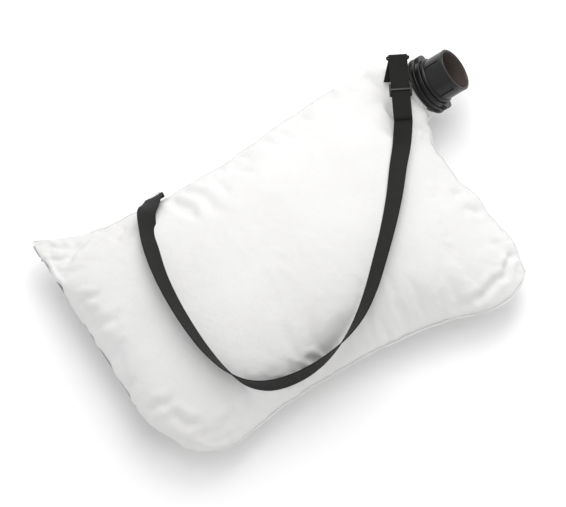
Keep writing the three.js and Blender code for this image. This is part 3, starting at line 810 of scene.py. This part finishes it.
LOOP_ALONG = (CREST - TAIL_END).normalized()
LOOP_ACROSS = LOOP_ALONG.cross(UP).normalized()
LOOP_FACE = LOOP_ACROSS.cross(LOOP_ALONG)
DOUBLED = (CREST - TAIL_END).length
CLOSE_LAYER = WEBBING["thickness"] / 2 + GAP
RING_DOWN = -(UP - LOOP_ACROSS * UP.dot(LOOP_ACROSS)).normalized()
LOWER_BAR = CREST + RING_DOWN * RING["pitch"]


def loop_station(from_ring, offset, turn):
    centre = CREST - LOOP_ALONG * from_ring + LOOP_FACE * offset
    return centre, LOOP_ACROSS, LOOP_FACE * turn


def turn_stations(bar, along, face, radius, steps=20):
    """Half a turn round a bar, from the lower layer to the upper one."""
    made = []
    for k in range(steps + 1):
        angle = -math.pi / 2 + k * math.pi / steps
        outward = along * math.cos(angle) + face * math.sin(angle)
        made.append((bar + outward * radius, LOOP_ACROSS, -outward))
    return made


def route_stations(per_point=12):
    """The webbing's free part. Over the rear fold its width stays in line with the seam."""
    end = loop_station(DOUBLED, -CLOSE_LAYER, 1)[0]
    path = [tuple(REAR_ROOT)] + [tuple(c * MM for c in row[:3]) for row in ROUTE] + [tuple(end)]
    banks = [90] + [row[3] for row in ROUTE] + [90]
    fold_ends, settled_from = 3, 6
    line = catmull_rom(path, per_point)
    made = []
    for k in range(len(line) - 1):
        place = k / per_point
        low = int(place)
        bank = math.radians(banks[low] + (banks[low + 1] - banks[low]) * (place - low))
        tangent = Vector(line[k + 1] - line[max(k - 1, 0)]).normalized()
        outward = tangent.cross(UP).normalized()
        banked = outward * math.sin(bank) + UP * math.cos(bank)
        settled = float(smoothstep(place, fold_ends, settled_from))
        across = Vector((-1, 0, 0)).lerp(banked, settled)
        across = (across - tangent * across.dot(tangent)).normalized()
        made.append((Vector(line[k]), across, across.cross(tangent)))
    return made


def between(first, last, steps):
    """Stations evenly spread from one to another."""
    return [tuple(a.lerp(b, k / steps) for a, b in zip(first, last)) for k in range(steps)]


def strap_webbing():
    fold_back, tail_short = 24 * MM, 4 * MM
    wrap = RING["wire"] + GAP + WEBBING["thickness"] / 2
    turn = turn_stations(CREST, LOOP_ALONG, LOOP_FACE, wrap)
    lower = loop_station(fold_back, -CLOSE_LAYER, 1)
    upper = loop_station(fold_back, CLOSE_LAYER, -1)
    stations = route_stations()
    stations += between(loop_station(DOUBLED, -CLOSE_LAYER, 1), lower, 12)
    stations += between(lower, turn[0], 8) + turn + between(turn[-1], upper, 8)[1:]
    stations += between(upper, loop_station(DOUBLED - tail_short, CLOSE_LAYER, -1), 12)
    stations.append(loop_station(DOUBLED - tail_short, CLOSE_LAYER, -1))
    return ribbon("shoulder_strap", stations, WEBBING["width"], WEBBING["thickness"])


def anchor_tab():
    thickness = 1.5 * MM
    along = LOWER_BAR - FRONT_ROOT
    along = (along - LOOP_ACROSS * along.dot(LOOP_ACROSS)).normalized()
    face = LOOP_ACROSS.cross(along)
    half = thickness / 2 + GAP
    turn = turn_stations(LOWER_BAR, along, face, RING["wire"] + GAP + thickness / 2)
    lower = (FRONT_ROOT - face * half, LOOP_ACROSS, face)
    upper = (FRONT_ROOT + face * half, LOOP_ACROSS, -face)
    stations = between(lower, turn[0], 10) + turn + between(turn[-1], upper, 10)[1:] + [upper]
    return ribbon("neck_anchor", stations, WEBBING["width"], thickness)


def strap_ring():
    """Bent wire that closes on itself, as a rounded rectangle."""
    bend = RING["corner"]
    half = RING["inside"] / 2 + RING["wire"]
    centres = [
        (half - bend, RING["pitch"] - bend),
        (-half + bend, RING["pitch"] - bend),
        (-half + bend, bend),
        (half - bend, bend),
    ]
    line = []
    for quarter, (x, y) in enumerate(centres):
        for k in range(9):
            angle = (quarter + k / 8) * math.pi / 2
            out = LOOP_ACROSS * math.cos(angle) + RING_DOWN * math.sin(angle)
            line.append(CREST + LOOP_ACROSS * x + RING_DOWN * y + out * bend)
    return tube("anchor_ring", line, RING["wire"], sides=20, closed=True)


def rounded_box(size, centre, radius, frame_matrix):
    """A box with rounded edges, placed in a local frame."""
    piece = mesh_object("box", *box(size), smooth=False)
    bevel = piece.modifiers.new("bevel", "BEVEL")
    bevel.width, bevel.segments = radius, 3
    apply_modifiers(piece)
    piece.data.transform(frame_matrix @ Matrix.Translation(centre))
    return piece


def box(size):
    """The corners and faces of a box about the origin."""
    x, y, z = (c / 2 for c in size)
    points = [(i * x, j * y, k * z) for i in (-1, 1) for j in (-1, 1) for k in (-1, 1)]
    faces = [(0, 1, 3, 2), (4, 6, 7, 5), (0, 4, 5, 1), (2, 3, 7, 6), (0, 2, 6, 4), (1, 5, 7, 3)]
    return points, faces


def united(name, parts):
    """The boolean union of closed meshes."""
    first, *others = parts
    for other in others:
        combine(first, other, "UNION")
    first.name = first.data.name = name
    sharpen(first, 35)
    return first


def adjuster():
    """Three-bar slide: end bars under the doubled webbing, the middle bar over it."""
    under = CLOSE_LAYER + WEBBING["thickness"] / 2 + GAP
    thick, bar, length, rail = GLIDE["bar_thickness"], GLIDE["bar"], GLIDE["length"], GLIDE["rail"]
    rail_place = WEBBING["width"] / 2 + GAP + rail / 2
    level = under + thick / 2
    span = 2 * rail_place
    origin = loop_station(GLIDE["from_ring"], 0, 1)[0]
    place = Matrix.Translation(origin) @ Matrix((LOOP_ACROSS, LOOP_ALONG, LOOP_FACE)).transposed().to_4x4()
    parts = [
        rounded_box((rail, length, 2 * (under + thick)), (turn * rail_place, 0, 0), 0.9 * MM, place)
        for turn in (-1, 1)
    ]
    parts += [
        rounded_box((span, bar, thick), (0, turn * (length - bar) / 2, -level), 0.6 * MM, place)
        for turn in (-1, 1)
    ]
    parts.append(rounded_box((span, bar, thick), (0, 0, level), 0.6 * MM, place))
    return united("tri_glide", parts)


finish_piece(strap_webbing(), "strap", "strap_webbing", STRAP, "strap_webbing")
finish_piece(anchor_tab(), "strap", "strap_webbing", STRAP, "neck_anchor_tab")
finish_piece(strap_ring(), "strap", "ring_plastic", RING_PLASTIC, "strap_ring")
finish_piece(adjuster(), "adjuster", "ring_plastic", RING_PLASTIC, "strap_adjuster")


# ---- Coupler ----
TUBE_INNER, TUBE_OUTER = 32.5 * MM, 36.5 * MM
TUBE_MOUTH = 57 * MM
SEAT_TOP = 6 * MM
LOCK_PLACE = (6.4, 15.4)
COLLAR_PLACE = (15.8, 21.8)
SLOT = {"count": 4, "width": 2.4 * MM, "length": 26 * MM, "depth": 2 * MM, "from": 22.5 * MM}


def rounded_outline(corners, steps=4):
    """A closed outline of (radius, height, rounding), with its corners rounded off."""
    made = []
    for k, (x, y, rounding) in enumerate(corners):
        place = np.array((x, y), float)
        if not rounding:
            made.append(tuple(place * MM))
            continue
        ends = []
        for other in (corners[k - 1], corners[(k + 1) % len(corners)]):
            away = np.array(other[:2], float) - place
            ends.append(place + away * min(rounding / np.linalg.norm(away), 0.45))
        for t in np.linspace(0, 1, steps + 1):
            bend = ends[0] * (1 - t) ** 2 + place * 2 * t * (1 - t) + ends[1] * t**2
            made.append(tuple(bend * MM))
    return made


def ring_piece(name, outline_at, segments=160):
    """A ring round the coupler's axis, whose section may change with the angle."""
    points = []
    for k in range(segments):
        angle = 2 * math.pi * k / segments
        for radius, height in outline_at(angle):
            local = Vector((radius * math.cos(angle), radius * math.sin(angle), height))
            points.append(COUPLER_FRAME @ local)
    size = len(points) // segments
    piece = mesh_object(name, points, grid_faces(segments, size, join_rows=True, join_columns=True))
    sharpen(piece, 50)
    return piece


def coupler_body():
    """Flange, seat and tube in one moulding, with four slots near the mouth."""
    wall, rim, mouth = TUBE_OUTER / MM, TUBE_OUTER / MM + 0.4, TUBE_MOUTH / MM
    bore, seat, flange = TUBE_INNER / MM, SEAT_TOP / MM, 49
    outline = rounded_outline(
        [
            (bore, -9.3, 0.6),
            (wall, -9.3, 0.6),
            (wall, -3, 0.4),
            (flange, -3, 1.2),
            (flange, 0, 1.2),
            (flange - 5, 0, 0.8),
            (flange - 5, seat, 1.6),
            (wall, seat, 0.6),
            (wall, mouth - 2.4, 0.5),
            (rim, mouth - 2, 0.4),
            (rim, mouth - 1, 0.8),
            (rim - 1.3, mouth, 1.0),
            (bore + 0.9, mouth, 0.8),
            (bore, mouth - 1.6, 0.8),
        ]
    )
    body = ring_piece("coupler_tube", lambda angle: outline)
    length, width, depth = SLOT["length"], SLOT["width"], SLOT["depth"]
    for k in range(SLOT["count"]):
        turn = Matrix.Rotation(SLOT_ANGLE + k * 2 * math.pi / SLOT["count"], 4, "Z")
        middle = (TUBE_OUTER, 0, SLOT["from"] + length / 2)
        slot = rounded_box((2 * depth, width, length), middle, 0.5 * MM, COUPLER_FRAME @ turn)
        combine(body, slot, "DIFFERENCE")
    sharpen(body, 40)
    return body


def paint_light_in_bore(body, look):
    """Gives the faces of the tube's bore a lighter copy of the plastic: painted light, standing in for light
    that shines through the tube wall.
    """
    body.data.materials.append(look)
    into_frame = COUPLER_FRAME.inverted()
    for face in body.data.polygons:
        place = into_frame @ face.center
        face.material_index = int(math.hypot(place.x, place.y) < TUBE_INNER + 0.4 * MM)


def lock_ring():
    """A plain ring with two rounded finger ears."""
    inner, radius, ear = 37, 42.5, 6
    low, high = LOCK_PLACE

    def outline_at(angle):
        away = abs(math.asin(math.sin(angle - EAR_ANGLE)))
        outer = radius + ear * (1 - float(smoothstep(math.degrees(away), 12, 23)))
        return rounded_outline(
            [
                (inner, low, 0.4),
                (outer, low, 1.4),
                (outer, high, 1.8),
                (inner + 1.2, high, 0.6),
                (inner, high - 1, 0.4),
            ]
        )

    return ring_piece("bayonet_ring", outline_at)


def collar():
    """The ring pressed on to the tube, which keeps the lock ring from sliding off."""
    inner, outer = 36.8, 39.8
    low, high = COLLAR_PLACE
    outline = rounded_outline(
        [
            (inner, low, 0.3),
            (outer, low, 0.8),
            (outer, high - 2, 1.2),
            (inner + 0.8, high, 0.6),
            (inner, high, 0.3),
        ]
    )
    return ring_piece("tube_collar", lambda angle: outline)


coupler = finish_piece(coupler_body(), "bag", "coupler_plastic", COUPLER_PLASTIC, "coupler_body")
# The bore gets the lighter plastic, which paints in the light inside the tube.
paint_light_in_bore(coupler, COUPLER_BORE_PAINTED_LIGHT)
finish_piece(lock_ring(), "lock", "ring_plastic", RING_PLASTIC, "lock_ring")
finish_piece(collar(), "bag", "ring_plastic", RING_PLASTIC, "retaining_collar")


# ---- Zip ----
SLOPE = math.sqrt(0.5)
ZIP_FRAME = Matrix.Translation(
    Vector((ZIP["x"] + ZIP["drop"] / 2, ZIP["to"], 52 - ZIP["drop"] / 2)) * MM
) @ Matrix(((SLOPE, 0, -SLOPE), (0, -1, 0), (-SLOPE, 0, -SLOPE))).transposed().to_4x4()
ZIP_LENGTH = (ZIP["to"] - ZIP["from"]) * MM
ZIP_ACROSS, ZIP_OUT = (ZIP_FRAME.to_3x3().col[k] for k in (0, 2))
COIL = {"pitch": 1.6, "wire": 0.36, "start": 4, "spare": 9}
PIN = {"y": 8, "z": 7.2}


def on_zip(x, y, z):
    """A world point from millimetres across, along and out of the zip."""
    return ZIP_FRAME @ (Vector((x, y, z)) * MM)


def zip_tape(name, turn):
    middle = turn * (ZIP["split"] + ZIP["tape_edge"]) / 2 * MM
    width = (ZIP["tape_edge"] - ZIP["split"]) * MM
    stations = []
    for y in np.linspace(0, ZIP_LENGTH, 105):
        wave = 0.15 * MM * noise.noise((y * 40, turn, 0))
        centre = ZIP_FRAME @ Vector((middle, y, wave))
        stations.append((centre, ZIP_ACROSS.copy(), ZIP_OUT.copy()))
    return ribbon(name, stations, width, 1.0 * MM)


def zip_coil(name, turn):
    """One side's nylon filament, wound in flat loops whose heads meet those of the other side."""
    head, back = 0.25, 3.4
    low, high = 1.15, 2.65
    steps = 8
    begin = COIL["start"] + (COIL["pitch"] / 2 if turn > 0 else 0)
    turns = int((ZIP_LENGTH / MM - COIL["spare"]) / COIL["pitch"])
    line = []
    for k in range(turns * steps):
        angle = 2 * math.pi * k / steps
        x = (head + back) / 2 - (back - head) / 2 * math.cos(angle)
        z = (low + high) / 2 + (high - low) / 2 * math.sin(angle)
        line.append(on_zip(turn * x, begin + k / steps * COIL["pitch"], z))
    return tube(name, line, COIL["wire"] * MM, sides=6)


def slider_parts():
    """Two plates joined by a post, and two lugs with the pin that carries the pull."""
    width, length, plate = 12, 11, 1.4
    lug, lug_height, pin = 1.2, 4.6, 1.5

    def part(size, place, radius):
        return rounded_box(Vector(size) * MM, Vector(place) * MM, radius * MM, ZIP_FRAME)

    parts = [part((width, length, plate), (0, 10.5, z), 0.6) for z in (4.0, -1.5)]
    parts.append(part((1, 3, 5.5), (0, 7, 1.25), 0.15))
    parts += [part((lug, 4, lug_height), (turn * 2.9, PIN["y"], 6.3), 0.4) for turn in (-1, 1)]
    parts.append(part((5.8, pin, pin), (0, PIN["y"], PIN["z"]), 0.5))
    return parts


def pull_tab():
    """A flat tab, narrow at the eye and rounded off at its end, with bevelled edges."""
    outline = [(0, 2.0), (3.5, 2.0), (5.5, 3.2), (8, 4.0), (26, 4.0), (28, 3.2), (29, 1.2)]
    begin, length, half_thick, bevel = 1.5, 27.5, 0.65, 0.3
    along = np.interp(np.linspace(0, 1, 30), np.linspace(0, 1, len(outline)), [row[0] for row in outline])
    half = np.interp(along, [row[0] for row in outline], [row[1] for row in outline])
    points = []
    for y, w in zip(along, half):
        edge = half_thick - bevel
        section = [(-w, -edge), (-w + bevel, -half_thick), (w - bevel, -half_thick), (w, -edge)]
        section += [(-x, -z) for x, z in section]
        place = PIN["y"] - begin - y * length / outline[-1][0]
        points += [on_zip(x, place, PIN["z"] + z) for x, z in section]
    size = len(section)
    faces = grid_faces(len(along), size, join_columns=True)
    faces += [tuple(range(size))[::-1], tuple(range(len(points) - size, len(points)))]
    return mesh_object("tab", points, faces, smooth=False)


def pull_eye():
    """The tube at the pull's end that turns on the slider's pin."""
    half, bevel, inner, outer, steps = 2, 0.2, 1.1, 2.1, 24
    section = [(-half, inner + bevel), (-half + bevel, inner), (half - bevel, inner), (half, inner + bevel)]
    section += [(half, outer - bevel), (half - bevel, outer), (-half + bevel, outer), (-half, outer - bevel)]
    points = []
    for k in range(steps):
        angle = 2 * math.pi * k / steps
        for x, r in section:
            points.append(on_zip(x, PIN["y"] + r * math.cos(angle), PIN["z"] + r * math.sin(angle)))
    return mesh_object("eye", points, grid_faces(steps, len(section), join_rows=True, join_columns=True))


def zip_pull():
    return united("zip_tab", [pull_eye(), pull_tab()])


finish_piece(zip_tape("zip_tape_front", -1), "bag", "zip_tape", TAPE, "front_zip_tape")
finish_piece(zip_tape("zip_tape_back", 1), "bag", "zip_tape", TAPE, "back_zip_tape")
finish_piece(zip_coil("zip_coil_front", -1), "bag", "zip_nylon", NYLON, "front_zip_coil")
finish_piece(zip_coil("zip_coil_back", 1), "bag", "zip_nylon", NYLON, "back_zip_coil")
finish_piece(united("zip_slider_body", slider_parts()), "slider", "trim_metal", METAL, "zip_slider")
finish_piece(zip_pull(), "pull", "trim_metal", METAL, "zip_pull")


# ---- Stitching ----
def stitch_mesh(name, stitches, length=2.2 * MM, radius=0.28 * MM):
    """Small raised threads. Each stitch is (middle, direction, normal)."""
    shares, sides = (-1, -0.6, 0, 0.6, 1), 6
    points, faces = [], []
    for middle, direction, normal in stitches:
        along = direction.normalized()
        out = (normal - along * normal.dot(along)).normalized()
        across = along.cross(out)
        start = len(points)
        for t in shares:
            r = radius * max(0.25, math.sqrt(1 - 0.9 * t * t))
            centre = middle + along * (t * length / 2) + out * radius * (0.5 - abs(t))
            for k in range(sides):
                angle = 2 * math.pi * k / sides
                points.append(centre + (across * math.cos(angle) + out * math.sin(angle)) * r)
        grid = grid_faces(len(shares), sides, join_columns=True)
        faces += [tuple(start + k for k in face) for face in grid]
        faces.append(tuple(range(start, start + sides))[::-1])
        faces.append(tuple(range(len(points) - sides, len(points))))
    return mesh_object(name, points, faces)


def stitch_line(first, last, normal, pitch=3 * MM):
    count = max(1, round((last - first).length / pitch))
    step = (last - first) / count
    return [(first + step * (k + 0.5), step, normal) for k in range(count)]


def box_cross(centre, along, across, normal, length, width):
    """A sewn box with a cross in it."""
    corners = [
        centre + along * (i * length / 2) + across * (j * width / 2)
        for i, j in ((-1, -1), (-1, 1), (1, 1), (1, -1))
    ]
    pairs = [(0, 1), (1, 2), (2, 3), (3, 0), (0, 2), (1, 3)]
    return [s for a, b in pairs for s in stitch_line(corners[a], corners[b], normal)]


def zip_stitches():
    lines = []
    for x in (-7, 7):
        first, last = (on_zip(x, y, 0.55) for y in (1, ZIP_LENGTH / MM - 1))
        lines += stitch_line(first, last, ZIP_OUT, 3.2 * MM)
    return stitch_mesh("zip_stitching", lines)


def strap_stitches():
    near_root = 18
    centre, across, face = route_stations()[near_root]
    along = across.cross(face)
    made = []
    for turn in (-1, 1):
        top = centre + face * (turn * 0.95 * MM)
        made += box_cross(top, along, across, face * turn, 16 * MM, 22 * MM)
    return stitch_mesh("strap_stitching", made)


finish_piece(zip_stitches(), "bag", "white_fabric", WHITE_THREAD)
finish_piece(strap_stitches(), "strap", "strap_webbing", BLACK_THREAD)


# ---- Pieces kept from the CAD part ----
def dress(look, *names):
    for name in names:
        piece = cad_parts[name]
        piece.data.materials.clear()
        piece.data.materials.append(look)


dress(RING_PLASTIC, "clamp_ring")
dress(METAL, "zip_top_stop", "zip_bottom_stop", *(f"clamp_screw_{k}" for k in range(1, 5)))


# ---- Floor, light and camera ----
def studio():
    bpy.ops.mesh.primitive_plane_add(size=8, location=(0, 0, 0))
    floor = bpy.context.object
    floor.name = "floor"
    look = Look("floor", (0.94, 0.94, 0.94), 0.9)
    where = look.place()
    look.color(look.ramp(look.noise(where, 1.5), (0.3, (0.93, 0.93, 0.93)), (0.7, (0.95, 0.95, 0.95))))
    floor.data.materials.append(look.material)

    world = bpy.data.worlds.new("studio")
    world.use_nodes = True
    background = world.node_tree.nodes["Background"]
    background.inputs["Color"].default_value = (1, 1, 1, 1)
    background.inputs["Strength"].default_value = 0.8
    bpy.context.scene.world = world

    def softbox(name, place, size, power):
        data = bpy.data.lights.new(name, "AREA")
        data.shape = "RECTANGLE"
        data.size, data.size_y = size
        data.energy = power
        light = bpy.data.objects.new(name, data)
        light.location = place
        aim = Vector((0, 0, 0.05)) - Vector(place)
        light.rotation_euler = aim.to_track_quat("-Z", "Y").to_euler()
        bpy.context.scene.collection.objects.link(light)

    softbox("key", (1.1, 1.15, 1.9), (1.6, 1.6), 28)
    softbox("top", (0.1, 0.2, 2.6), (1.4, 1.4), 9)


def camera():
    aim_at = Vector((22, 35, 0)) * MM
    azimuth, elevation = math.radians(-31), math.radians(65)
    lens, sensor, width_seen = 260, 36, 0.906
    distance = lens / sensor * width_seen
    toward = Vector(
        (
            math.sin(azimuth) * math.cos(elevation),
            -math.cos(azimuth) * math.cos(elevation),
            math.sin(elevation),
        )
    )
    data = bpy.data.cameras.new("camera")
    data.lens = lens
    data.sensor_width = sensor
    made = bpy.data.objects.new("camera", data)
    made.location = aim_at + toward * distance
    made.rotation_euler = (-toward).to_track_quat("-Z", "Y").to_euler()
    bpy.context.scene.collection.objects.link(made)
    bpy.context.scene.camera = made


studio()
camera()
bpy.context.scene.view_settings.view_transform = "Standard"
